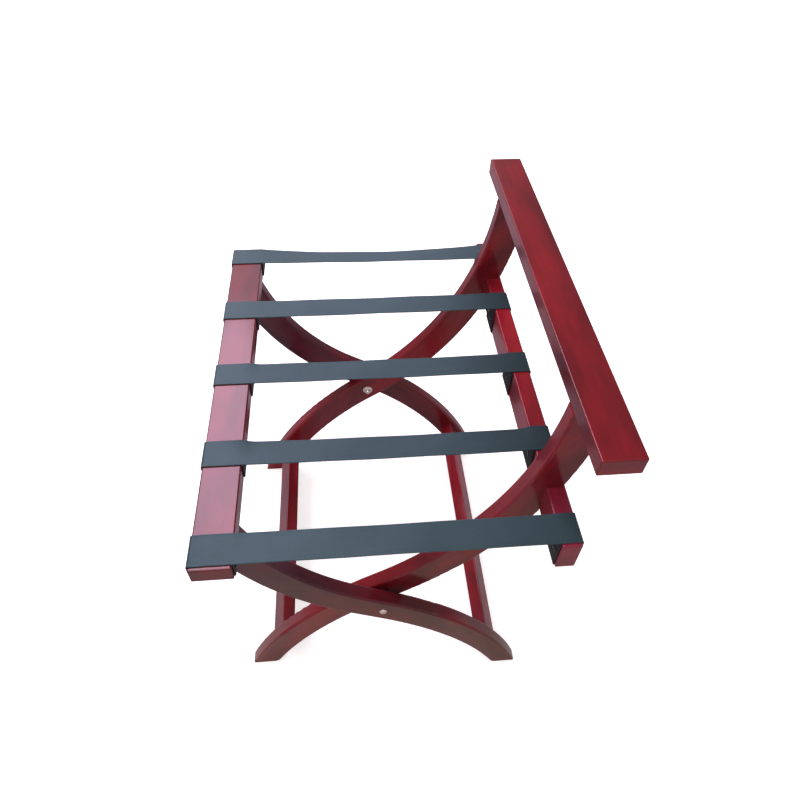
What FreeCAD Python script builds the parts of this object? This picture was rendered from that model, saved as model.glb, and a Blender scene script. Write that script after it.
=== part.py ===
# Folding luggage bench of lacquered hardwood.
# Two leg frames cross and turn on one pair of bolts. The back frame carries the rear rail, the
# backrest board and the front foot stretcher; the front frame carries the front rail and the rear
# foot stretcher. Five webbing straps are wrapped round both rails and stop the frames opening.
# X runs along the rails, +Y points to the backrest, Z is up. Millimetres.
# The model is drawn about the pivot line (y = 0) and moved at the end, so that the finished
# bench stands with the middle of its bounding box over the origin.
import FreeCAD, Part
import math
import os

V = FreeCAD.Vector

# ---------------------------------------------------------------- driving dimensions
# boards
board_width = 48.0
board_thickness = 24.0
arris_radius = 1.8             # small round along every board edge
rail_length = 600.0
backrest_length = 594.0
seat_height = 497.0            # top of both rails
backrest_height = 655.0        # top of the backrest board
front_rail_offset = 2.4        # front rail's middle behind the middle of the legs' tops
backrest_offset = 1.5          # backrest board's middle behind the middle of the legs' tops
rear_rail_inset = 3.3          # rear rail's lower front corner inside the legs' rear edge

# legs
pivot_height = 242.5
leg_width = 47.0
leg_thickness = 22.0
leg_arris_radius = 3.5         # the legs' edges are routed rounder than the boards'
leg_gap = 7.5                  # between a front leg and the back leg beside it
foot_radius = 12.0             # rounded inner corner of each foot

back_leg_slope_degrees = 34.3  # from level, at the pivot
back_leg_upper_straight = 2.4  # straight length above the pivot
back_leg_upper_radius = 520.0  # centreline of the upper arm
back_leg_lower_straight = 3.0
back_leg_lower_radius = 562.0  # both edges of the lower arm, so that it tapers to the foot

front_leg_slope_degrees = 30.9
front_leg_upper_straight = 39.5
front_leg_upper_radius = 370.0
front_leg_lower_straight = 7.5
front_leg_lower_radius = 503.0

# stretchers
stretcher_width = 38.0
stretcher_thickness = 22.0
stretcher_height = 71.0        # middle of the stretcher above the floor

# straps
strap_count = 5
strap_width = 40.0
strap_thickness = 2.0
strap_end_margin = 3.0         # rail end to the outermost strap
strap_leg_space = 8.5          # outermost strap to the front leg beside it
strap_sag = 2.0
strap_clearance = 0.3          # webbing to wood
strap_tail_gap = 1.0           # cut end of the webbing to the span above it

# staples
staple_crown = 10.0
staple_wire = 1.0
staple_leg = 9.0
staple_spacing = 20.0
staple_clearance = 0.1

# pivot hardware
bolt_diameter = 6.0
bolt_head_diameter = 11.5
bolt_head_height = 3.6
bolt_chamfer = 0.6
socket_across_flats = 4.0
socket_depth = 2.0
bolt_clearance = 0.05          # running fit, on the radius
running_gap = 0.2              # beside the turning leg
spacer_diameter = 20.0
washer_diameter = 18.0
washer_thickness = 1.6
nut_across_flats = 10.0
nut_hex_height = 5.0
nut_dome_radius = 4.6
nut_dome_height = 4.2
nut_thread_depth = 7.0
nut_end_space = 1.0            # inside the dome, past the bolt's tip

# dowels and screws
dowel_diameter = 8.0
dowel_clearance = 0.1
dowel_end_space = 1.0          # glue space at the bottom of each hole
dowel_chamfer = 0.8
dowel_in_board = 14.0          # depth in the board that lies on the legs
dowel_in_leg_top = 24.0
dowel_in_leg_side = 12.0
dowel_in_stretcher = 22.0
top_dowel_spacing = 20.0
stretcher_dowel_spacing = 16.0
screw_diameter = 4.5
screw_length = 40.0
screw_head_diameter = 9.0
screw_head_height = 2.8
screw_point = 6.0
screw_tip_diameter = 0.8
screw_clearance = 0.1
screw_spacing = 24.0
screw_slot_width = 1.2
screw_slot_length = 5.0
screw_slot_depth = 1.4
overshoot = 1.0                # how far a recess's cutting shape runs past the face

# ---------------------------------------------------------------- derived levels
front_leg_outer = rail_length / 2 - strap_end_margin - strap_width - strap_leg_space
front_leg_inner = front_leg_outer - leg_thickness
back_leg_outer = front_leg_inner - leg_gap
back_leg_inner = back_leg_outer - leg_thickness
front_leg_top = seat_height - board_thickness
back_leg_top = backrest_height - board_thickness
strap_pitch = (rail_length - 2 * strap_end_margin - strap_width) / (strap_count - 1)
strap_centres = [(i - (strap_count - 1) / 2) * strap_pitch for i in range(strap_count)]
strap_lift = strap_clearance + strap_thickness      # rail face to the webbing's outer face
TOUCH = 0.01                   # edges closer than this to a plane count as lying in it


# ---------------------------------------------------------------- small helpers
def box(x, y, z):
    """Box between three (low, high) pairs."""
    return Part.makeBox(x[1] - x[0], y[1] - y[0], z[1] - z[0], V(x[0], y[0], z[0]))


def edges_along_x(shape):
    return [e for e in shape.Edges if abs(e.tangentAt(e.FirstParameter).x) > 0.999]


def bar(x, y, z, radius):
    """Box whose four edges along X are rounded."""
    block = box(x, y, z)
    return block.makeFillet(radius, edges_along_x(block))


def board(x, y, z):
    """Board with every edge rounded by the arris radius."""
    block = box(x, y, z)
    return block.makeFillet(arris_radius, block.Edges)


def rod(radius, start, direction, length):
    return Part.makeCylinder(radius, length, start, direction)


def joined(shapes):
    return shapes[0].fuse(shapes[1:]).removeSplitter()


def cut_by(shape, tools):
    return shape.cut(Part.makeCompound(tools))


def centred(middle, size):
    """(low, high) pair of a size about its middle."""
    return middle - size / 2, middle + size / 2


def mirrored(shape):
    """The same shape on the other side of the bench's middle."""
    return shape.mirror(V(0, 0, 0), V(1, 0, 0))


def both_sides(shape):
    return [shape, mirrored(shape)]


# ---------------------------------------------------------------- leg profile
class LegProfile:
    """Ogee outline of a leg in the YZ plane: a straight band through the pivot, an upper arm that
    curls up and a lower arm that curls down to the floor. rise is +1 where the leg climbs
    towards +Y and -1 where it climbs towards -Y."""

    def __init__(self, slope_degrees, upper_straight, upper_radius, lower_straight, lower_radius, rise):
        angle = math.radians(slope_degrees)
        self.rise = rise
        self.half = leg_width / 2
        self.along = (math.cos(angle), math.sin(angle))
        self.across = (-math.sin(angle), math.cos(angle))
        self.upper_straight = upper_straight
        self.upper_radius = upper_radius
        self.lower_straight = lower_straight
        self.lower_radius = lower_radius

    def band_point(self, station, offset):
        """Point at a station along the straight band and an offset across it."""
        y = self.along[0] * station + self.across[0] * offset
        z = pivot_height + self.along[1] * station + self.across[1] * offset
        return y, z

    def edge_arc(self, upper_arm, side):
        """Centre and radius of one edge; side is +1 for the upper edge and -1 for the lower."""
        if upper_arm:
            centre = self.band_point(self.upper_straight, self.upper_radius)
            return centre, self.upper_radius - side * self.half
        centre = self.band_point(-self.lower_straight, side * self.half - self.lower_radius)
        return centre, self.lower_radius

    def edge_y(self, z, side):
        """Where an edge meets a level, before the leg is given its rise."""
        upper_arm = z > pivot_height
        (cy, cz), radius = self.edge_arc(upper_arm, side)
        reach = math.sqrt(radius ** 2 - (z - cz) ** 2)
        return cy + reach if upper_arm else cy - reach

    def point(self, yz):
        return V(0, self.rise * yz[0], yz[1])

    def arc(self, upper_arm, side, start, end):
        (cy, cz), radius = self.edge_arc(upper_arm, side)
        my = (start[0] + end[0]) / 2 - cy
        mz = (start[1] + end[1]) / 2 - cz
        stretch = radius / math.hypot(my, mz)
        middle = (cy + my * stretch, cz + mz * stretch)
        return Part.Arc(self.point(start), self.point(middle), self.point(end)).toShape()

    def line(self, start, end):
        return Part.makeLine(self.point(start), self.point(end))

    def middle_y(self, z):
        return self.rise * (self.edge_y(z, 1) + self.edge_y(z, -1)) / 2

    def lower_slope(self, z):
        """Angle of the lower arm from level at a height, in degrees, measured from +Y."""
        (cy, cz), radius = self.edge_arc(False, 1)
        steepness = math.asin((z - cz) / radius)
        return self.rise * (90 - math.degrees(steepness))

    def outline(self, top):
        """Closed wire from the floor to the level cut at the top."""
        h = self.half
        toe, heel = [(self.edge_y(0, side), 0) for side in (1, -1)]
        low_up, low_down = [self.band_point(-self.lower_straight, side * h) for side in (1, -1)]
        high_up, high_down = [self.band_point(self.upper_straight, side * h) for side in (1, -1)]
        top_up, top_down = [(self.edge_y(top, side), top) for side in (1, -1)]
        return Part.Wire([
            self.arc(False, 1, toe, low_up),
            self.line(low_up, high_up),
            self.arc(True, 1, high_up, top_up),
            self.line(top_up, top_down),
            self.arc(True, -1, top_down, high_down),
            self.line(high_down, low_down),
            self.arc(False, -1, low_down, heel),
            self.line(heel, toe),
        ])


back_profile = LegProfile(back_leg_slope_degrees, back_leg_upper_straight, back_leg_upper_radius,
                          back_leg_lower_straight, back_leg_lower_radius, 1)
front_profile = LegProfile(front_leg_slope_degrees, front_leg_upper_straight, front_leg_upper_radius,
                           front_leg_lower_straight, front_leg_lower_radius, -1)

# ---------------------------------------------------------------- where the boards lie
front_rail_y = centred(front_profile.middle_y(front_leg_top) + front_rail_offset, board_width)
front_rail_z = (front_leg_top, seat_height)
rear_rail_z = (seat_height - board_width, seat_height)
rear_rail_face = back_profile.edge_y(rear_rail_z[0], -1) - rear_rail_inset
rear_rail_y = (rear_rail_face, rear_rail_face + board_thickness)
backrest_y = centred(back_profile.middle_y(back_leg_top) + backrest_offset, board_width)
backrest_z = (back_leg_top, backrest_height)


def leg_blank(profile, outer_x, top):
    """Right-hand leg board with its foot rounded and its arrises eased, before any joinery."""
    face = Part.Face(profile.outline(top))
    blank = face.extrude(V(leg_thickness, 0, 0))
    blank.translate(V(outer_x - leg_thickness, 0, 0))
    heel_y = profile.rise * profile.edge_y(0, -1)
    heel = [e for e in edges_along_x(blank)
            if abs(e.CenterOfMass.z) < TOUCH and abs(e.CenterOfMass.y - heel_y) < TOUCH]
    blank = blank.makeFillet(foot_radius, heel)
    long_edges = [e for e in blank.Edges
                  if e.BoundBox.XLength < TOUCH and e.BoundBox.ZMin < top - TOUCH]
    return blank.makeFillet(leg_arris_radius, long_edges)


# ---------------------------------------------------------------- pivot hardware (right-hand side)
def pivot_axis_rod(radius, x_from, x_to):
    return rod(radius, V(x_from, 0, pivot_height), V(1, 0, 0), x_to - x_from)


bolt_head_seat = front_leg_outer + running_gap
nut_seat = back_leg_inner - washer_thickness
bolt_tip = nut_seat - nut_thread_depth
bore_radius = bolt_diameter / 2 + bolt_clearance


def hexagon_prism(across_flats, x_from, x_to):
    corner = across_flats / math.sqrt(3)
    turns = [math.radians(60 * i + 30) for i in range(7)]
    points = [V(x_from, corner * math.cos(t), pivot_height + corner * math.sin(t)) for t in turns]
    return Part.Face(Part.makePolygon(points)).extrude(V(x_to - x_from, 0, 0))


def dome(base_radius, height, x_base, direction):
    """Spherical cap on the pivot line, from x_base outwards."""
    radius = (base_radius ** 2 + height ** 2) / (2 * height)
    ball = Part.makeSphere(radius, V(x_base - direction * (radius - height), 0, pivot_height))
    x = sorted((x_base, x_base + 2 * direction * radius))
    return ball.common(box(x, (-radius, radius), centred(pivot_height, 2 * radius)))


def pivot_bolt():
    head = dome(bolt_head_diameter / 2, bolt_head_height, bolt_head_seat, 1)
    top = bolt_head_seat + bolt_head_height
    socket = hexagon_prism(socket_across_flats, top - socket_depth, top + overshoot)
    shank = pivot_axis_rod(bolt_diameter / 2, bolt_tip, bolt_head_seat)
    end = [e for e in shank.Edges if abs(e.CenterOfMass.x - bolt_tip) < TOUCH]
    shank = shank.makeChamfer(bolt_chamfer, end)
    return joined([head.cut(socket), shank])


def pivot_nut():
    hexagon = hexagon_prism(nut_across_flats, nut_seat - nut_hex_height, nut_seat)
    cap = dome(nut_dome_radius, nut_dome_height, nut_seat - nut_hex_height, -1)
    bore = pivot_axis_rod(bore_radius, bolt_tip - nut_end_space, nut_seat)
    return joined([hexagon, cap]).cut(bore)


def pivot_washer():
    disc = pivot_axis_rod(washer_diameter / 2, nut_seat, back_leg_inner)
    return disc.cut(pivot_axis_rod(bore_radius, nut_seat, back_leg_inner))


def pivot_spacer():
    outer = back_leg_outer + leg_gap - running_gap
    disc = pivot_axis_rod(spacer_diameter / 2, back_leg_outer, outer)
    return disc.cut(pivot_axis_rod(bore_radius, back_leg_outer, outer))


# ---------------------------------------------------------------- dowels, screws and staples
def dowel(start, direction, length):
    pin = rod(dowel_diameter / 2, start, direction, length)
    return pin.makeChamfer(dowel_chamfer, [e for e in pin.Edges if e.Closed])


def dowel_hole(start, direction, length):
    shifted = start - direction * dowel_end_space
    return rod(dowel_diameter / 2 + dowel_clearance, shifted, direction, length + 2 * dowel_end_space)


def top_dowel_places(profile, leg_inner, leg_top):
    """Start points of the pair of upright dowels in the right-hand leg's top."""
    x = leg_inner + leg_thickness / 2
    y = profile.middle_y(leg_top)
    z = leg_top - dowel_in_leg_top
    return [V(x, y + s * top_dowel_spacing / 2, z) for s in (-1, 1)]


def stretcher_dowel_places(profile, leg_inner):
    """Start points of the pair of level dowels in the right-hand leg's inner face."""
    slope = math.radians(profile.lower_slope(stretcher_height))
    middle = V(leg_inner - dowel_in_stretcher, profile.middle_y(stretcher_height), stretcher_height)
    step = V(0, math.cos(slope), math.sin(slope)) * (stretcher_dowel_spacing / 2)
    return [middle - step, middle + step]


top_dowel_length = dowel_in_leg_top + dowel_in_board
side_dowel_length = dowel_in_stretcher + dowel_in_leg_side


def wood_screw(place):
    """Countersunk cross-slotted screw whose head lies flush in the face at place, driven to -Y."""
    inward = V(0, -1, 0)
    head = Part.makeCone(screw_head_diameter / 2, screw_diameter / 2, screw_head_height, place, inward)
    shank = rod(screw_diameter / 2, place, inward, screw_length - screw_point)
    tip = place + inward * (screw_length - screw_point)
    point = Part.makeCone(screw_diameter / 2, screw_tip_diameter / 2, screw_point, tip, inward)
    half_length, half_width = screw_slot_length / 2, screw_slot_width / 2
    depth = (place.y - screw_slot_depth, place.y + overshoot)
    slots = [box((place.x - a, place.x + a), depth, (place.z - b, place.z + b))
             for a, b in ((half_length, half_width), (half_width, half_length))]
    return cut_by(joined([head, shank, point]), slots)


def screw_hole(place):
    inward = V(0, -1, 0)
    wide, narrow = screw_head_diameter / 2 + screw_clearance, screw_diameter / 2 + screw_clearance
    sink = Part.makeCone(wide, narrow, screw_head_height, place, inward)
    shank = rod(narrow, place, inward, screw_length - screw_point)
    tip = place + inward * (screw_length - screw_point)
    tip_radius = screw_tip_diameter / 2 + screw_clearance
    point = Part.makeCone(narrow, tip_radius, screw_point + screw_clearance, tip, inward)
    return joined([sink, shank, point])


screw_places = [V(back_leg_inner + leg_thickness / 2, rear_rail_y[1], z)
                for z in centred(sum(rear_rail_z) / 2, screw_spacing)]


def staple(x, face_y, z, outward, spare=0.0):
    """Staple over the webbing on a rail's inner face; outward is the face's direction along Y."""
    strap_top = face_y + outward * (strap_lift + strap_clearance)
    half = staple_crown / 2
    wire = staple_wire / 2 + spare
    crown_y = sorted((strap_top - outward * spare, strap_top + outward * (staple_wire + spare)))
    leg_y = sorted((face_y - outward * (staple_leg + spare), strap_top + outward * staple_wire / 2))
    crown = box((x - half - spare, x + half + spare), crown_y, (z - wire, z + wire))
    legs = [box(sorted((x + s * (half - staple_wire) - s * spare, x + s * half + s * spare)), leg_y,
                (z - wire, z + wire)) for s in (-1, 1)]
    return joined([crown] + legs)


def staples(rail_y_face, z, outward, spare=0.0):
    return [staple(x + s * staple_spacing / 2, rail_y_face, z, outward, spare)
            for x in strap_centres for s in (-1, 1)]


front_staple_line = (front_rail_y[1], sum(front_rail_z) / 2, 1)
rear_staple_line = (rear_rail_y[0], sum(rear_rail_z) / 2, -1)


# ---------------------------------------------------------------- straps
def strap_ring(x, y, z):
    """Webbing wrapped round a rail of section y by z."""
    inner, outer = strap_clearance, strap_lift
    wrap = bar(x, (y[0] - outer, y[1] + outer), (z[0] - outer, z[1] + outer), arris_radius + outer)
    return wrap.cut(bar(x, (y[0] - inner, y[1] + inner), (z[0] - inner, z[1] + inner), arris_radius + inner))


def strap_span(x, y, top):
    """Sagging webbing between the rails' inner faces."""
    middle = sum(y) / 2
    def arc(level):
        ends = V(x[0], y[0], level), V(x[0], middle, level - strap_sag), V(x[0], y[1], level)
        return Part.Arc(*ends).toShape()
    upper, lower = arc(top), arc(top - strap_thickness)
    ends = [Part.makeLine(V(x[0], value, top), V(x[0], value, top - strap_thickness)) for value in y]
    return Part.Face(Part.Wire([upper, ends[1], lower, ends[0]])).extrude(V(x[1] - x[0], 0, 0))


def strap(centre):
    """One strap: a wrap round each rail, its cut end slit off just below the span."""
    x = centred(centre, strap_width)
    top = seat_height + strap_lift
    slit_z = (top - strap_thickness - strap_tail_gap, top)
    front_end = (front_rail_y[1] - arris_radius, front_rail_y[1] + strap_lift)
    rear_end = (rear_rail_y[0] - strap_lift, rear_rail_y[0] + arris_radius)
    front = strap_ring(x, front_rail_y, front_rail_z).cut(box(x, front_end, slit_z))
    rear = strap_ring(x, rear_rail_y, rear_rail_z).cut(box(x, rear_end, slit_z))
    return joined([front, strap_span(x, (front_end[0], rear_end[1]), top), rear])


# ---------------------------------------------------------------- the frames
pivot_bore = pivot_axis_rod(bore_radius, 0, rail_length)
front_top_dowels = top_dowel_places(front_profile, front_leg_inner, front_leg_top)
back_top_dowels = top_dowel_places(back_profile, back_leg_inner, back_leg_top)
front_stretcher_dowels = stretcher_dowel_places(back_profile, back_leg_inner)
rear_stretcher_dowels = stretcher_dowel_places(front_profile, front_leg_inner)
up, outward = V(0, 0, 1), V(1, 0, 0)


def top_holes(places):
    return [dowel_hole(p, up, top_dowel_length) for p in places]


def side_holes(places):
    return [dowel_hole(p, outward, side_dowel_length) for p in places]


def back_leg():
    """Right-hand leg of the back frame. The notch for the rear rail has a level shoulder on the
    rail's top and runs out of the leg's rear edge just below the rail."""
    blank = leg_blank(back_profile, back_leg_outer, back_leg_top)
    notch = box((0, rail_length), (rear_rail_face, rail_length), (pivot_height, seat_height))
    holes = top_holes(back_top_dowels) + side_holes(front_stretcher_dowels)
    holes += [screw_hole(p) for p in screw_places]
    return cut_by(blank, [notch, pivot_bore] + holes)


def front_leg():
    """Right-hand leg of the front frame, under the front rail."""
    blank = leg_blank(front_profile, front_leg_outer, front_leg_top)
    holes = top_holes(front_top_dowels) + side_holes(rear_stretcher_dowels)
    return cut_by(blank, [pivot_bore] + holes)


def stretcher(profile, reach, dowels):
    """Flat rail between two legs, its broad faces along the legs' slope."""
    half_w, half_t = stretcher_width / 2, stretcher_thickness / 2
    blank = bar((-reach, reach), (-half_w, half_w), (-half_t, half_t), arris_radius)
    blank.rotate(V(0, 0, 0), V(1, 0, 0), profile.lower_slope(stretcher_height))
    blank.translate(V(0, profile.middle_y(stretcher_height), stretcher_height))
    holes = side_holes(dowels)
    return cut_by(blank, holes + [mirrored(h) for h in holes])


def pair_of(shapes):
    return Part.makeCompound([s for shape in shapes for s in both_sides(shape)])


def build_nodes():
    nodes = {}
    half_rail, half_back = rail_length / 2, backrest_length / 2
    front_holes, back_holes = top_holes(front_top_dowels), top_holes(back_top_dowels)
    screw_holes = [screw_hole(p) for p in screw_places]
    nodes["front_rail"] = cut_by(board((-half_rail, half_rail), front_rail_y, front_rail_z),
                                 front_holes + [mirrored(h) for h in front_holes]
                                 + staples(*front_staple_line, staple_clearance))
    nodes["rear_rail"] = cut_by(board((-half_rail, half_rail), rear_rail_y, rear_rail_z),
                                screw_holes + [mirrored(h) for h in screw_holes]
                                + staples(*rear_staple_line, staple_clearance))
    nodes["backrest_board"] = cut_by(board((-half_back, half_back), backrest_y, backrest_z),
                                     back_holes + [mirrored(h) for h in back_holes])
    nodes["front_stretcher"] = stretcher(back_profile, back_leg_inner, front_stretcher_dowels)
    nodes["rear_stretcher"] = stretcher(front_profile, front_leg_inner, rear_stretcher_dowels)
    for side, sign in (("left", -1), ("right", 1)):
        for name, make in (("back_leg", back_leg), ("front_leg", front_leg), ("pivot_bolt", pivot_bolt),
                           ("pivot_nut", pivot_nut), ("pivot_washer", pivot_washer),
                           ("pivot_spacer", pivot_spacer)):
            nodes[f"{name}_{side}"] = make() if sign > 0 else mirrored(make())
    staple_cuts = staples(*front_staple_line, staple_clearance) + staples(*rear_staple_line, staple_clearance)
    for number, centre in enumerate(strap_centres, start=1):
        nodes[f"strap_{number}"] = cut_by(strap(centre), staple_cuts)
    nodes["front_strap_staples"] = Part.makeCompound(staples(*front_staple_line))
    nodes["rear_strap_staples"] = Part.makeCompound(staples(*rear_staple_line))
    nodes["front_rail_dowels"] = pair_of([dowel(p, up, top_dowel_length) for p in front_top_dowels])
    nodes["backrest_dowels"] = pair_of([dowel(p, up, top_dowel_length) for p in back_top_dowels])
    for name, places in (("front", front_stretcher_dowels), ("rear", rear_stretcher_dowels)):
        pins = [dowel(p, outward, side_dowel_length) for p in places]
        nodes[f"{name}_stretcher_dowels"] = pair_of(pins)
    nodes["rear_rail_screws"] = pair_of([wood_screw(p) for p in screw_places])
    return nodes


nodes = build_nodes()
bounds = Part.makeCompound(list(nodes.values())).optimalBoundingBox(False, False)
to_origin = V(0, -(bounds.YMin + bounds.YMax) / 2, 0)
os.makedirs("parts", exist_ok=True)
for name, shape in nodes.items():
    placed = shape.copy()
    placed.translate(to_origin)
    placed.exportStep(f"parts/{name}.step")
    solids = placed.Solids
    print(name, len(solids), "solid(s)", "valid" if placed.isValid() else "INVALID", round(placed.Volume))
print("pivot line at y", round(to_origin.y, 3), "z", pivot_height)
print("bounds", [round(v, 2) for v in (bounds.XMin, bounds.XMax, bounds.YMin + to_origin.y,
                                       bounds.YMax + to_origin.y, bounds.ZMin, bounds.ZMax)])
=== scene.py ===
"""Folding hotel luggage bench: lacquered boards on crossed legs, woven straps and nickel bolts."""
import math

import bpy
from mathutils import Matrix, Vector


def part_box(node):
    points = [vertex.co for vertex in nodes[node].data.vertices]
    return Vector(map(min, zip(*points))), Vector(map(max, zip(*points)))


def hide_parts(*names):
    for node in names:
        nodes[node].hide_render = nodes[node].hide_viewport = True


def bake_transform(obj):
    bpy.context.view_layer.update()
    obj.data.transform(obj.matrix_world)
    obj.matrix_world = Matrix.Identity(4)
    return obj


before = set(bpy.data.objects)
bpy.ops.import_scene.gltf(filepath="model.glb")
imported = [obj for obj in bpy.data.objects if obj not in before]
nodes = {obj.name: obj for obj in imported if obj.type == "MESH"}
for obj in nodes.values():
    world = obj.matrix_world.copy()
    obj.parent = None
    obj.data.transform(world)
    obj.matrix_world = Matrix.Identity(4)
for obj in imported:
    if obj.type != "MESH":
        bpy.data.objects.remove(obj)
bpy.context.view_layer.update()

# ---------------------------------------------------------------- sizes, in metres
ARRIS_RADIUS = 0.0018          # rounding along the boards
STRAP_WIDTH = 0.040
STRAP_THICKNESS = 0.0018       # pulled thin by the tension
STRAP_CLEARANCE = 0.0002       # webbing to wood
STRAP_TAIL_GAP = 0.001         # cut end of the webbing to the span above it
STRAP_COUNT = 5

# ---------------------------------------------------------------- camera
CAMERA_PLACE = (0.64329, -0.04562, 1.14263)
CAMERA_YAW, CAMERA_PITCH, CAMERA_ROLL = -0.1115, 0.8357, 0.0357    # radians
CAMERA_FOCAL_PIXELS, PICTURE_PIXELS = 637.68, 800
SENSOR_WIDTH = 36.0            # millimetres
CLIP_NEAR, CLIP_FAR = 0.01, 50


def add_camera():
    """Camera above the right-hand end of the bench, looking down along the rails."""
    level, drop = math.cos(CAMERA_PITCH), math.sin(CAMERA_PITCH)
    forward = Vector((-math.cos(CAMERA_YAW) * level, -math.sin(CAMERA_YAW) * level, -drop))
    right = forward.cross(Vector((0, 0, 1))).normalized()
    up = right.cross(forward)
    turn, lean = math.cos(CAMERA_ROLL), math.sin(CAMERA_ROLL)
    rolled_right, rolled_up = right * turn + up * lean, up * turn - right * lean
    lens = bpy.data.cameras.new("camera")
    lens.sensor_width = SENSOR_WIDTH
    lens.lens = CAMERA_FOCAL_PIXELS / PICTURE_PIXELS * SENSOR_WIDTH
    lens.clip_start, lens.clip_end = CLIP_NEAR, CLIP_FAR
    camera = bpy.data.objects.new("camera", lens)
    axes = Matrix((rolled_right, rolled_up, -forward)).transposed().to_4x4()
    camera.matrix_world = Matrix.Translation(CAMERA_PLACE) @ axes
    bpy.context.scene.collection.objects.link(camera)
    bpy.context.scene.camera = camera


# ---------------------------------------------------------------- node helpers
def feed(tree, socket, value):
    """Links a socket's value, or sets a plain one."""
    if isinstance(value, bpy.types.NodeSocket):
        tree.links.new(value, socket)
    else:
        socket.default_value = value


def add_node(tree, kind, inputs=None, **settings):
    made = tree.nodes.new("ShaderNode" + kind)
    for name, value in settings.items():
        setattr(made, name, value)
    for name, value in (inputs or {}).items():
        feed(tree, made.inputs[name], value)
    return made


def maths(tree, operation, *values, clamp=False):
    made = add_node(tree, "Math", operation=operation, use_clamp=clamp)
    for socket, value in zip(made.inputs, values):
        feed(tree, socket, value)
    return made.outputs[0]


def times(tree, value, factor, clamp=False):
    return maths(tree, "MULTIPLY", value, factor, clamp=clamp)


def vector_maths(tree, operation, first, second=None):
    inputs = {0: first} if second is None else {0: first, 1: second}
    return add_node(tree, "VectorMath", inputs, operation=operation).outputs


def blend_colours(tree, share, first, second, how="MIX"):
    made = add_node(tree, "Mix", data_type="RGBA", blend_type=how)
    for socket, value in zip((made.inputs[0], made.inputs[6], made.inputs[7]),
                             (share, first, second)):
        feed(tree, socket, value)
    return made.outputs[2]


def spread(tree, value, low, high, to_low=0.0, to_high=1.0, smooth=False):
    """Stretches a value's range low..high over to_low..to_high."""
    made = add_node(tree, "MapRange", {"Value": value, "From Min": low, "From Max": high,
                                       "To Min": to_low, "To Max": to_high})
    made.interpolation_type = "SMOOTHSTEP" if smooth else "LINEAR"
    return made.outputs[0]


def separate(tree, vector):
    return add_node(tree, "SeparateXYZ", {0: vector}).outputs


def own_place(tree):
    """Position on the piece itself, in metres."""
    return add_node(tree, "TexCoord").outputs["Object"]


def camera_sees(tree):
    return add_node(tree, "LightPath").outputs["Is Camera Ray"]


def noise(tree, place, scale, detail=3.0, roughness=0.5, distortion=0.0):
    """Noise of one scale, or of its own scale along each axis."""
    if isinstance(scale, tuple):
        place = add_node(tree, "Mapping", {"Vector": place, "Scale": scale}).outputs[0]
        scale = 1.0
    return add_node(tree, "TexNoise", {"Vector": place, "Scale": scale, "Detail": detail,
                                       "Roughness": roughness, "Distortion": distortion}).outputs[0]


def bump(tree, height, distance, strength=1.0):
    return add_node(tree, "Bump", {"Height": height, "Distance": distance,
                                   "Strength": strength}).outputs[0]


def new_group(name, inputs, outputs):
    """Node group with named sockets: inputs give (name, kind, value), outputs (name, kind)."""
    tree = bpy.data.node_groups.new(name, "ShaderNodeTree")
    for socket_name, kind, value in inputs:
        socket = tree.interface.new_socket(socket_name, in_out="INPUT",
                                           socket_type="NodeSocket" + kind)
        if value is not None:
            socket.default_value = value
    for socket_name, kind in outputs:
        tree.interface.new_socket(socket_name, in_out="OUTPUT", socket_type="NodeSocket" + kind)
    given = tree.nodes.new("NodeGroupInput").outputs
    return tree, given, tree.nodes.new("NodeGroupOutput").inputs


def use_group(tree, group, **inputs):
    made = tree.nodes.new("ShaderNodeGroup")
    made.node_tree = group
    for name, value in inputs.items():
        feed(tree, made.inputs[name.replace("_", " ")], value)
    return made.outputs


def new_material(name, **settings):
    """Material with one Principled shader whose plain sockets are set here."""
    material = bpy.data.materials.new(name)
    material.use_nodes = True
    shader = material.node_tree.nodes["Principled BSDF"]
    for socket, value in settings.items():
        shader.inputs[socket.replace("_", " ")].default_value = value
    return material, material.node_tree, shader.inputs


# ---------------------------------------------------------------- shared effects
RING_WANDER = 0.010            # metres by which the growth rings stray from round


def make_wood_grain():
    """Growth rings, mottled figure, fibres and open pores; X of Place runs along the grain."""
    tree, given, out = new_group(
        "wood_grain",
        [("Place", "Vector", None), ("Pith", "Vector", (0, 0.03, 0.09)),
         ("Ring Width", "Float", 0.003)],
        [("Figure", "Float"), ("Rings", "Float"), ("Fibres", "Float"), ("Pores", "Float")])
    place = given["Place"]
    figure = noise(tree, place, (5, 16, 16), detail=3.0, roughness=0.55, distortion=0.2)
    wander = noise(tree, place, (1.8, 8, 8), detail=2.0)
    from_pith = vector_maths(tree, "SUBTRACT", place, given["Pith"])[0]
    across = vector_maths(tree, "MULTIPLY", from_pith, (0, 1, 1))[0]
    radius = vector_maths(tree, "LENGTH", across)["Value"]
    radius = maths(tree, "ADD", radius, times(tree, wander, RING_WANDER))
    ring = maths(tree, "FRACT", maths(tree, "DIVIDE", radius, given["Ring Width"]))
    late_wood = times(tree, spread(tree, ring, 0.25, 0.85), spread(tree, ring, 1.0, 0.86))
    fibres = noise(tree, place, (9, 420, 420), detail=3.0, roughness=0.6)
    dashes = noise(tree, place, (55, 1100, 1100), detail=1.0)
    feed(tree, out["Figure"], spread(tree, figure, 0.30, 0.70, smooth=True))
    feed(tree, out["Rings"], late_wood)
    feed(tree, out["Fibres"], spread(tree, fibres, 0.3, 0.7))
    feed(tree, out["Pores"], spread(tree, dashes, 0.66, 0.76))
    return tree


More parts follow.
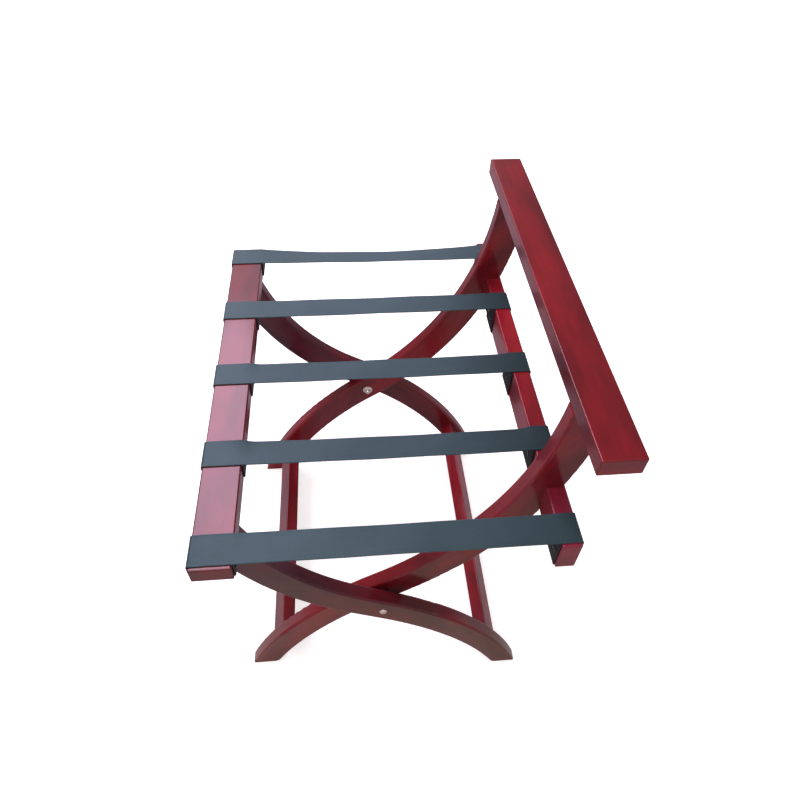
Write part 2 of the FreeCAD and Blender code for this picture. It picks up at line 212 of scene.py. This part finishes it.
def make_worn_and_highlit_edges():
    """Mask of the arrises, broken up where handling has not reached; it marks worn stain and a
    painted highlight.
    """
    tree, given, out = new_group("worn_and_highlit_edges",
                                 [("Place", "Vector", None), ("Radius", "Float", 0.002)],
                                 [("Edge", "Float")])
    rounded = add_node(tree, "Bevel", {"Radius": given["Radius"]}, samples=6).outputs[0]
    true_normal = add_node(tree, "NewGeometry").outputs["Normal"]
    agreement = vector_maths(tree, "DOT_PRODUCT", rounded, true_normal)["Value"]
    edge = spread(tree, agreement, 0.995, 0.90)
    patches = noise(tree, given["Place"], 55.0, detail=4.0, roughness=0.6)
    patches = spread(tree, patches, 0.35, 0.62, 0.35, 1.0)
    feed(tree, out["Edge"], times(tree, edge, patches, clamp=True))
    return tree


def make_handling_marks():
    """Uneven gloss from wiping and hands, with a few hair scratches."""
    tree, given, out = new_group("handling_marks", [("Place", "Vector", None)],
                                 [("Smudge", "Float"), ("Scratch", "Float")])
    smudge = noise(tree, given["Place"], 14.0, detail=4.0, roughness=0.6, distortion=0.3)
    turned = add_node(tree, "Mapping", {"Vector": given["Place"], "Rotation": (0.5, 0.3, 0.6),
                                        "Scale": (12, 900, 900)}).outputs[0]
    scratch = noise(tree, turned, 1.0, detail=1.0)
    feed(tree, out["Smudge"], spread(tree, smudge, 0.3, 0.7))
    feed(tree, out["Scratch"], spread(tree, scratch, 0.74, 0.8))
    return tree


def make_plain_weave():
    """Over-and-under threads; Cloth holds metres across (X) and along (Y) the webbing."""
    tree, given, out = new_group("plain_weave",
                                 [("Cloth", "Vector", None), ("Across Pitch", "Float", 0.0011),
                                  ("Along Pitch", "Float", 0.0016)],
                                 [("Height", "Float"), ("Thread", "Float")])
    parts = separate(tree, given["Cloth"])
    across = maths(tree, "DIVIDE", parts[0], given["Across Pitch"])
    along = maths(tree, "DIVIDE", parts[1], given["Along Pitch"])

    def bulge(value):
        swing = maths(tree, "SUBTRACT", times(tree, maths(tree, "FRACT", value), 2.0), 1.0)
        below = maths(tree, "SUBTRACT", 1.0, times(tree, swing, swing), clamp=True)
        return maths(tree, "SQRT", below)

    column = maths(tree, "FLOOR", across)
    lift = maths(tree, "SINE", times(tree, maths(tree, "ADD", along, column), math.pi))
    over = spread(tree, lift, -1.0, 1.0)
    warp = times(tree, bulge(across), over)
    weft = times(tree, bulge(along), maths(tree, "SUBTRACT", 1.0, over))
    thread = add_node(tree, "TexWhiteNoise", {"W": column}, noise_dimensions="1D").outputs[0]
    feed(tree, out["Height"], maths(tree, "MAXIMUM", warp, weft))
    feed(tree, out["Thread"], thread)
    return tree


wood_grain = make_wood_grain()
worn_and_highlit_edges = make_worn_and_highlit_edges()
handling_marks = make_handling_marks()
plain_weave = make_plain_weave()


# ---------------------------------------------------------------- finishes
STAIN_DARK = (0.115, 0.0038, 0.0090, 1)
STAIN_RED = (0.285, 0.0065, 0.0150, 1)
STAIN_RING = (0.050, 0.0015, 0.0035, 1)
STAIN_PORE = (0.016, 0.0010, 0.0018, 1)
# Lighter, pinker stain on worn arrises, which also serves as a painted highlight along them.
STAIN_EDGE_AND_HIGHLIGHT = (0.300, 0.0200, 0.0320, 1)
RING_SHOW, FIBRE_SHOW, PORE_SHOW = 0.08, 0.10, 0.28        # share of each under the stain
BOARD_WEAR_AND_HIGHLIGHT, LEG_WEAR_AND_HIGHLIGHT = 0.30, 0.22                  # share of the stain worn off the arrises, and of the painted highlight along them
BACK_LEG_CHORD, FRONT_LEG_CHORD = 56.0, 130.0      # degrees from +Y in which the grain climbs

WEBBING_THREAD = (0.028, 0.060, 0.078, 1)
# Dark of the gaps between threads, also used for the painted shade under the backrest.
WEBBING_GAP_AND_SHADE = (0.004, 0.008, 0.011, 1)
THREAD_SHOW, PAINTED_SHADE_SHOW = 0.30, 0.75
PAINTED_LIGHT_X, PAINTED_LIGHT_Y = (0.10, -0.24), (-0.20, -0.05)     # metres over which the painted light of the windows grows
PAINTED_SHADE_Y = (0.06, 0.20)                         # metres over which the backrest's painted shade grows
OUTER_STRAPS_X = (0.17, 0.25)                      # and, from the middle, over which it weakens


def lacquered_wood(name, chord, lightness, edge_wear_and_highlight, turned=None):
    """Mahogany-red stain under satin lacquer; each batch of wood took it to its own lightness, and
    the lightness of the rear boards is raised further as painted light. The grain runs along X, or
    along a leg's chord. turned gives the axis, start, end and tint of a painted shade or painted
    reflection that is multiplied into the stain."""
    material, tree, shader = new_material(name, Coat_Roughness=0.14, Coat_IOR=1.5,
                                          Specular_IOR_Level=0.12)
    grain_turn = (0, 0, 0) if chord is None else (-math.radians(chord), 0, -math.pi / 2)
    place = own_place(tree)
    along = add_node(tree, "Mapping", {"Vector": place, "Rotation": grain_turn}).outputs[0]
    grain = use_group(tree, wood_grain, Place=along)
    edge = use_group(tree, worn_and_highlit_edges, Place=place)["Edge"]
    marks = use_group(tree, handling_marks, Place=place)

    tone = blend_colours(tree, grain["Figure"], STAIN_DARK, STAIN_RED)
    tone = add_node(tree, "VectorMath", {0: tone, "Scale": lightness},
                    operation="SCALE").outputs[0]
    # Painted shade or painted reflection: the stain is multiplied by a tint along one axis.
    if turned:
        axis, start, end, tint = turned
        reach = spread(tree, separate(tree, place)[axis], start, end, smooth=True)
        tone = blend_colours(tree, reach, tone, tint, "MULTIPLY")
    for mask, show, colour in ((grain["Rings"], RING_SHOW, STAIN_RING),
                               (grain["Fibres"], FIBRE_SHOW, STAIN_RING),
                               (grain["Pores"], PORE_SHOW, STAIN_PORE),
                               (edge, edge_wear_and_highlight, STAIN_EDGE_AND_HIGHLIGHT)):
        tone = blend_colours(tree, times(tree, mask, show), tone, colour)
    feed(tree, shader["Base Color"], tone)

    rough = spread(tree, marks["Smudge"], 0, 1, 0.38, 0.50)
    rough = maths(tree, "ADD", rough, times(tree, marks["Scratch"], 0.10))
    feed(tree, shader["Roughness"], rough)
    feed(tree, shader["Coat Weight"], spread(tree, marks["Smudge"], 0, 1, 0.95, 0.90))
    relief = maths(tree, "SUBTRACT", times(tree, grain["Fibres"], 0.35), grain["Pores"])
    feed(tree, shader["Normal"], bump(tree, relief, 0.00004, 0.5))
    return material


def woven_webbing(name, deep, faded, painted_light, sheen):
    """Dark slate polypropylene webbing. Its dye wanders between deep and faded; it is painted
    lighter between the rails at the left-hand end as painted light from the windows, and darker
    under the backrest as painted shade."""
    material, tree, shader = new_material(name, Sheen_Weight=sheen, Sheen_Roughness=0.35,
                                          Sheen_Tint=(0.55, 0.88, 1.0, 1),
                                          Specular_IOR_Level=0.62,
                                          Specular_Tint=(0.60, 0.94, 1.0, 1))
    cloth = add_node(tree, "UVMap", uv_map="cloth").outputs[0]
    weave = use_group(tree, plain_weave, Cloth=cloth)
    place = own_place(tree)
    parts = separate(tree, place)

    fading = spread(tree, noise(tree, place, 18.0, detail=4.0, roughness=0.55), 0.3, 0.7)
    tone = blend_colours(tree, fading, deep, faded)
    # Painted light of the windows: lighter towards the left-hand end and away from the front rail.
    leftward = spread(tree, parts["X"], *PAINTED_LIGHT_X)
    between_rails = spread(tree, parts["Y"], *PAINTED_LIGHT_Y, 0.25, 1.0)
    tone = blend_colours(tree, times(tree, leftward, between_rails), tone, painted_light)
    tone = blend_colours(tree, times(tree, weave["Thread"], THREAD_SHOW), tone, WEBBING_THREAD)
    gaps = spread(tree, weave["Height"], 0.25, 0.75, 0.35, 0.0)
    tone = blend_colours(tree, gaps, tone, WEBBING_GAP_AND_SHADE)
    # Painted shade of the backrest: the dye darkens towards the rear rail, less on the outer straps.
    inner_straps = spread(tree, maths(tree, "ABSOLUTE", parts["X"]), *OUTER_STRAPS_X, 1.0, 0.35)
    painted_shade = times(tree, spread(tree, parts["Y"], *PAINTED_SHADE_Y, smooth=True), inner_straps)
    tone = blend_colours(tree, times(tree, painted_shade, PAINTED_SHADE_SHOW), tone, WEBBING_GAP_AND_SHADE)
    feed(tree, shader["Base Color"], tone)

    rough = spread(tree, weave["Height"], 0, 1, 0.60, 0.40)
    rough = maths(tree, "ADD", rough, times(tree, painted_shade, 0.25), clamp=True)
    feed(tree, shader["Roughness"], rough)
    feed(tree, shader["Normal"], bump(tree, weave["Height"], 0.00018, 0.5))
    return material


def bare_metal(name, colour, dull_colour, gloss, tarnish_scale):
    """Metal with fine turning marks and a little tarnish; gloss gives its range of roughness."""
    material, tree, shader = new_material(name, Metallic=1.0)
    place = own_place(tree)
    tarnish = noise(tree, place, tarnish_scale, detail=4.0, roughness=0.6)
    tarnish = spread(tree, tarnish, 0.35, 0.65)
    feed(tree, shader["Base Color"], blend_colours(tree, tarnish, colour, dull_colour))
    turning = noise(tree, place, (2200, 300, 300), detail=2.0)
    feed(tree, shader["Roughness"], spread(tree, turning, 0.3, 0.7, *gloss))
    feed(tree, shader["Normal"], bump(tree, turning, 0.00002, 0.5))
    return material


def moulded_nylon():
    """Black nylon of the spacers."""
    material, tree, shader = new_material("moulded_nylon", Specular_IOR_Level=0.5)
    place = own_place(tree)
    stipple = noise(tree, place, 1400.0, detail=2.0)
    haze = noise(tree, place, 120.0, detail=3.0)
    tone = blend_colours(tree, haze, (0.010, 0.010, 0.011, 1), (0.020, 0.020, 0.022, 1))
    feed(tree, shader["Base Color"], tone)
    feed(tree, shader["Roughness"], spread(tree, haze, 0.3, 0.7, 0.42, 0.58))
    feed(tree, shader["Normal"], bump(tree, stipple, 0.00003, 0.6))
    return material


def beech():
    """Bare beech of the dowels."""
    material, tree, shader = new_material("beech", Specular_IOR_Level=0.3)
    grain = use_group(tree, wood_grain, Place=own_place(tree))
    tone = blend_colours(tree, grain["Figure"], (0.50, 0.30, 0.16, 1), (0.62, 0.41, 0.24, 1))
    tone = blend_colours(tree, grain["Pores"], tone, (0.25, 0.13, 0.07, 1))
    feed(tree, shader["Base Color"], tone)
    feed(tree, shader["Roughness"], spread(tree, grain["Fibres"], 0, 1, 0.6, 0.75))
    feed(tree, shader["Normal"], bump(tree, grain["Fibres"], 0.0001, 0.5))
    return material


def both(name):
    return [f"{name}_left", f"{name}_right"]


def dress(names, material):
    for name in names:
        for held in nodes[name].material_slots:
            held.material = material


# ---------------------------------------------------------------- straps
# For each strap: droop of the far edge beside the rails, sag in the middle of the far and near
# edges, and drift along the front and rear rails.
STRAP_HANG = {
    1: (0.0005, 0.0096, 0.0014, -0.0015, 0.0044),
    2: (0.0006, 0.0010, 0.0002, 0.0000, 0.0000),
    3: (0.0026, 0.0014, 0.0010, 0.0005, 0.0008),
    4: (0.0044, 0.0024, 0.0014, 0.0015, 0.0030),
    5: (0.0010, 0.0006, 0.0000, -0.0016, -0.0010),
}
SPAN_STEPS, CORNER_STEPS, SIDE_STEPS, UNDER_STEPS = 48, 6, 6, 8
DROOP_RUN = 0.05               # share of the span in which the droop builds up
FLUTTER = 0.0004               # height of the small waves in a span
UPWARD = 0.6                   # a face this upright lies on a rail's top or in the span
# Across the webbing, as shares of its half width; the body is thinner than the selvedges.
SECTION_COLUMNS = (-0.93, -0.9, -0.75, -0.5, -0.25, 0, 0.25, 0.5, 0.75, 0.9, 0.93)
SELVEDGE_START, BODY_SHARE = 0.92, 0.86


def wrap_path(rail, side):
    """Webbing round a rail from its cut end, on the side that faces the other rail, to the top.
    side is +1 where that face is the rail's high-y face. Gives (point, outward direction)
    pairs in (y, z), and the point where the span starts."""
    low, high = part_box(rail)
    radius = ARRIS_RADIUS + STRAP_CLEARANCE + STRAP_THICKNESS / 2
    reach = radius - ARRIS_RADIUS
    inner, outer = ((high.y, low.y) if side > 0 else (low.y, high.y))
    path = []

    def corner(y, z, start):
        y_in = y - math.copysign(ARRIS_RADIUS, y - (low.y + high.y) / 2)
        z_in = z - math.copysign(ARRIS_RADIUS, z - (low.z + high.z) / 2)
        for i in range(CORNER_STEPS + 1):
            angle = math.radians(start - side * 90 * i / CORNER_STEPS)
            out = (math.cos(angle), math.sin(angle))
            path.append(((y_in + radius * out[0], z_in + radius * out[1]), out))

    def face(first, last, out, steps):
        for i in range(1, steps):
            t = i / steps
            y = first[0] + (last[0] - first[0]) * t
            z = first[1] + (last[1] - first[1]) * t
            path.append(((y, z), out))

    sideways = 0 if side > 0 else 180
    inner_y, outer_y = inner + side * reach, outer - side * reach
    under_z = low.z - reach
    cut_z = high.z + STRAP_CLEARANCE - STRAP_TAIL_GAP
    path.append(((inner_y, cut_z), (side, 0)))
    face((inner_y, cut_z), (inner_y, low.z + ARRIS_RADIUS), (side, 0), SIDE_STEPS)
    corner(inner, low.z, sideways)
    face((inner - side * ARRIS_RADIUS, under_z), (outer + side * ARRIS_RADIUS, under_z),
         (0, -1), UNDER_STEPS)
    corner(outer, low.z, sideways - side * 90)
    face((outer_y, low.z + ARRIS_RADIUS), (outer_y, high.z - ARRIS_RADIUS),
         (-side, 0), SIDE_STEPS)
    corner(outer, high.z, sideways - side * 180)
    return path, Vector((0, inner - side * ARRIS_RADIUS, high.z + reach))


def strap_section():
    """Closed outline of the webbing's section: (across, height) with rounded selvedges."""
    half, body = STRAP_WIDTH / 2, STRAP_THICKNESS / 2
    columns = [half * share for share in SECTION_COLUMNS]
    upper = [(u, body * (BODY_SHARE if abs(u) < SELVEDGE_START * half else 1.0))
             for u in columns]
    edge = [(half - body + body * math.cos(a), body * math.sin(a))
            for a in (math.radians(d) for d in (90, 60, 30, 0, -30, -60, -90))]
    lower = [(u, -h) for u, h in reversed(upper)]
    other = [(-u, -h) for u, h in edge]
    return upper + edge + lower + other


def strap_stations():
    """Middle line of a strap: (point, outward direction, share of the span, share of the sag)."""
    front, front_end = wrap_path("front_rail", 1)
    rear, rear_end = wrap_path("rear_rail", -1)
    stations = [(Vector((0, *p)), Vector((0, *n)), 0.0, 0.0) for p, n in front]
    for i in range(SPAN_STEPS + 1):
        t = i / SPAN_STEPS
        stations.append((front_end.lerp(rear_end, t), Vector((0, 0, 1)), t, 4 * t * (1 - t)))
    stations += [(Vector((0, *p)), Vector((0, *n)), 1.0, 0.0) for p, n in reversed(rear)]
    return stations, front_end, rear_end


def hang_webbing(number, centre, stations, section):
    """Points of the hanging strap, each one's place on the cloth, and the flat length."""
    far_droop, far_sag, near_sag, front_drift, rear_drift = STRAP_HANG[number]
    points, cloth, travelled, last = [], [], 0.0, None
    for middle, out, share, dip in stations:
        travelled += (middle - last).length if last is not None else 0.0
        last = middle
        drift = front_drift + (rear_drift - front_drift) * share
        droop = math.sin(min(1.0, min(share, 1 - share) / DROOP_RUN) * math.pi / 2)
        for across, height in section:
            nearness = 0.5 + across / STRAP_WIDTH
            sag = dip * (far_sag + (near_sag - far_sag) * nearness)
            sag += far_droop * (1 - nearness) ** 1.5 * droop
            flutter = dip * FLUTTER * math.sin(share * 17 + number * 2.1 + across * 60)
            shift = Vector((centre + across + drift, 0, flutter - sag))
            points.append(middle + out * height + shift)
            cloth.append((across + STRAP_WIDTH / 2 + number, travelled))
    return points, cloth, travelled


def make_strap(number, span_webbing, shaded_wrap_webbing):
    cad_low, cad_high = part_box(f"strap_{number}")
    stations, front_end, rear_end = strap_stations()
    section = strap_section()
    centre = (cad_low.x + cad_high.x) / 2
    points, cloth, travelled = hang_webbing(number, centre, stations, section)

    ring, strips = len(section), len(stations) - 1
    faces = []
    for first in range(0, strips * ring, ring):
        for b in range(ring):
            c = (b + 1) % ring
            faces.append((first + b, first + c, first + ring + c, first + ring + b))
    faces += [tuple(reversed(range(ring))), tuple(range(len(points) - ring, len(points)))]
    mesh = bpy.data.meshes.new(f"webbing_{number}")
    mesh.from_pydata(points, [], faces)
    mesh.update()
    layer = mesh.uv_layers.new(name="cloth")
    for loop in mesh.loops:
        layer.data[loop.index].uv = cloth[loop.vertex_index]
    mesh.polygons.foreach_set("use_smooth", [True] * len(mesh.polygons))
    mesh.materials.append(span_webbing)
    mesh.materials.append(shaded_wrap_webbing)
    # Faces that do not face up, on the sides and undersides of the wraps, take the darker copy as
    # painted shade.
    for a in range(strips):
        faces_up = stations[a][1].z + stations[a + 1][1].z > 2 * UPWARD
        for b in range(ring):
            mesh.polygons[a * ring + b].material_index = 0 if faces_up else 1

    strap = bpy.data.objects.new(f"webbing_{number}", mesh)
    bpy.context.scene.collection.objects.link(strap)
    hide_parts(f"strap_{number}")
    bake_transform(strap)


# ---------------------------------------------------------------- studio
# What the wood mirrors in the floor, from the left-hand end to the right: (x, colour).
FLOOR_BANDS = [
    (-0.50, (0.40, 0.34, 0.37, 1)),
    (-0.20, (0.43, 0.37, 0.40, 1)),
    (-0.05, (0.54, 0.54, 0.57, 1)),
    (0.33, (0.47, 0.49, 0.41, 1)),
    (0.50, (0.50, 0.37, 0.33, 1)),
    (0.75, (0.53, 0.50, 0.52, 1)),
]
FLOOR_PAPER = (0.93, 0.93, 0.93, 1)
FLOOR_SIZE, FLOOR_DROP = 12.0, 0.0004
GLOW_START, GLOW_END = (0.45, 0.55), (1.5, 1.0)        # distance from the middle, and glow
ROOM_LEFT, ROOM_RIGHT = (0.22, 0.20, 0.20, 1), (0.52, 0.46, 0.45, 1)
WHITE = (1, 1, 1, 1)

# Name, place, aim, width and height, watts, colour.
SOFTBOXES = [
    ("overhead", (0.9, -0.45, 3.3), (0, 0, 0.3), (2.1, 2.3), 47, (1.0, 0.97, 0.96)),
    ("window", (-1.70, -1.0, 3.05), (0, -0.2, 0.5), (1.35, 1.70), 53, (1.0, 0.73, 0.96)),
    ("low_window", (-1.70, -0.5, 1.37), (0, -0.2, 0.5), (2.1, 0.8), 7.4, (0.97, 0.84, 1.0)),
]


def mirrored_floor(tree, place):
    """Colour that the bench mirrors, in soft bands across the floor."""
    first, last = FLOOR_BANDS[0][0], FLOOR_BANDS[-1][0]
    ramp = add_node(tree, "ValToRGB", {"Fac": spread(tree, separate(tree, place)["X"], first, last)})
    stops = ramp.color_ramp.elements
    for x, _ in FLOOR_BANDS[1:-1]:
        stops.new((x - first) / (last - first))
    for stop, (x, colour) in zip(stops, FLOOR_BANDS):
        stop.position, stop.color = (x - first) / (last - first), colour
    return ramp.outputs["Color"]


def add_floor():
    """White paper floor that glows away from the lamps, so that the camera sees it as white. The
    bench mirrors it as tinted greys."""
    s = FLOOR_SIZE
    mesh = bpy.data.meshes.new("floor")
    mesh.from_pydata([(-s, -s, 0), (s, -s, 0), (s, s, 0), (-s, s, 0)], [], [(0, 1, 2, 3)])
    floor = bpy.data.objects.new("floor", mesh)
    bpy.context.scene.collection.objects.link(floor)
    floor.location.z = -FLOOR_DROP
    material, tree, shader = new_material("floor_paper", Roughness=0.9, Specular_IOR_Level=0.0,
                                          Emission_Color=WHITE)
    seen = camera_sees(tree)
    place = own_place(tree)
    tone = blend_colours(tree, seen, mirrored_floor(tree, place), FLOOR_PAPER)
    feed(tree, shader["Base Color"], tone)
    distance = vector_maths(tree, "LENGTH", place)["Value"]
    glow = spread(tree, distance, GLOW_START[0], GLOW_END[0], GLOW_START[1], GLOW_END[1],
                  smooth=True)
    feed(tree, shader["Emission Strength"], times(tree, glow, seen))
    mesh.materials.append(material)


def add_softbox(name, place, aim, size, watts, colour):
    lamp = bpy.data.lights.new(name, "AREA")
    lamp.shape, lamp.size, lamp.size_y = "RECTANGLE", size[0], size[1]
    lamp.energy, lamp.color = watts, colour
    made = bpy.data.objects.new(name, lamp)
    made.location = place
    made.rotation_euler = (Vector(aim) - Vector(place)).to_track_quat("-Z", "Y").to_euler()
    bpy.context.scene.collection.objects.link(made)


def light_studio():
    """Overhead softbox, two windows beyond the left-hand end, and a room, dimmer on that side,
    that the camera sees as white."""
    world = bpy.data.worlds.new("studio")
    bpy.context.scene.world = world
    world.use_nodes = True
    tree = world.node_tree
    background = tree.nodes["Background"].inputs
    direction = add_node(tree, "TexCoord").outputs["Generated"]
    rightward = spread(tree, separate(tree, direction)["X"], -0.6, 0.7, smooth=True)
    room = blend_colours(tree, rightward, ROOM_LEFT, ROOM_RIGHT)
    feed(tree, background["Color"], blend_colours(tree, camera_sees(tree), room, WHITE))
    background["Strength"].default_value = 1.0
    for softbox in SOFTBOXES:
        add_softbox(*softbox)
    bpy.context.scene.view_settings.view_transform = "Standard"
    bpy.context.scene.view_settings.look = "None"


# ---------------------------------------------------------------- the bench
add_camera()
light_studio()
add_floor()

# Name, pieces, chord of the grain, lightness, edges' share of worn stain and painted highlight,
# tint of painted shade or painted reflection.
for name, pieces, chord, lightness, edge_mark, turned in (
        ("lacquered_front_rail", ["front_rail"], None, 0.62, BOARD_WEAR_AND_HIGHLIGHT, None),
        ("lacquered_boards", ["backrest_board", "front_stretcher"], None, 0.86, BOARD_WEAR_AND_HIGHLIGHT, None),
        # The rear rail and rear stretcher: a lightness of 1.38 as painted light where the backrest
        # shades them, and a mauve tint towards the right-hand end as painted reflection.
        ("lacquered_rear_boards", ["rear_rail", "rear_stretcher"], None, 1.38, BOARD_WEAR_AND_HIGHLIGHT,
         ("X", 0.16, 0.27, (0.88, 2.0, 2.6, 1))),
        ("lacquered_back_legs", both("back_leg"), BACK_LEG_CHORD, 1.0, LEG_WEAR_AND_HIGHLIGHT, None),
        # The front legs: darker red turning grey-purple towards their tops, as painted shade under
        # the front rail and straps.
        ("lacquered_front_legs", both("front_leg"), FRONT_LEG_CHORD, 0.70, LEG_WEAR_AND_HIGHLIGHT,
         ("Z", 0.20, 0.38, (0.55, 1.3, 2.2, 1)))):
    dress(pieces, lacquered_wood(name, chord, lightness, edge_mark, turned))

dress(both("pivot_bolt") + both("pivot_nut") + both("pivot_washer"),
      bare_metal("bright_nickel", (0.95, 0.90, 0.88, 1), (0.80, 0.74, 0.72, 1),
                 gloss=(0.14, 0.26), tarnish_scale=300.0))
dress(both("pivot_spacer"), moulded_nylon())
dress(["front_strap_staples", "rear_strap_staples"],
      bare_metal("staple_wire", (0.60, 0.60, 0.60, 1), (0.42, 0.42, 0.43, 1),
                 gloss=(0.28, 0.42), tarnish_scale=500.0))
dress(["rear_rail_screws"],
      bare_metal("zinc_steel", (0.66, 0.66, 0.62, 1), (0.48, 0.48, 0.46, 1),
                 gloss=(0.25, 0.40), tarnish_scale=400.0))
dress(["front_rail_dowels", "backrest_dowels", "front_stretcher_dowels", "rear_stretcher_dowels"],
      beech())

spans = woven_webbing("faded_webbing", deep=(0.021, 0.042, 0.050, 1),
                      faded=(0.028, 0.054, 0.063, 1), painted_light=(0.046, 0.084, 0.104, 1), sheen=0.45)
# Darker copy without sheen for the wraps' sides and undersides: painted shade.
shade_webbing = woven_webbing("shaded_webbing", deep=(0.004, 0.008, 0.010, 1),
                      faded=(0.006, 0.012, 0.015, 1), painted_light=(0.006, 0.012, 0.015, 1), sheen=0.0)
for number in range(1, STRAP_COUNT + 1):
    make_strap(number, spans, shade_webbing)
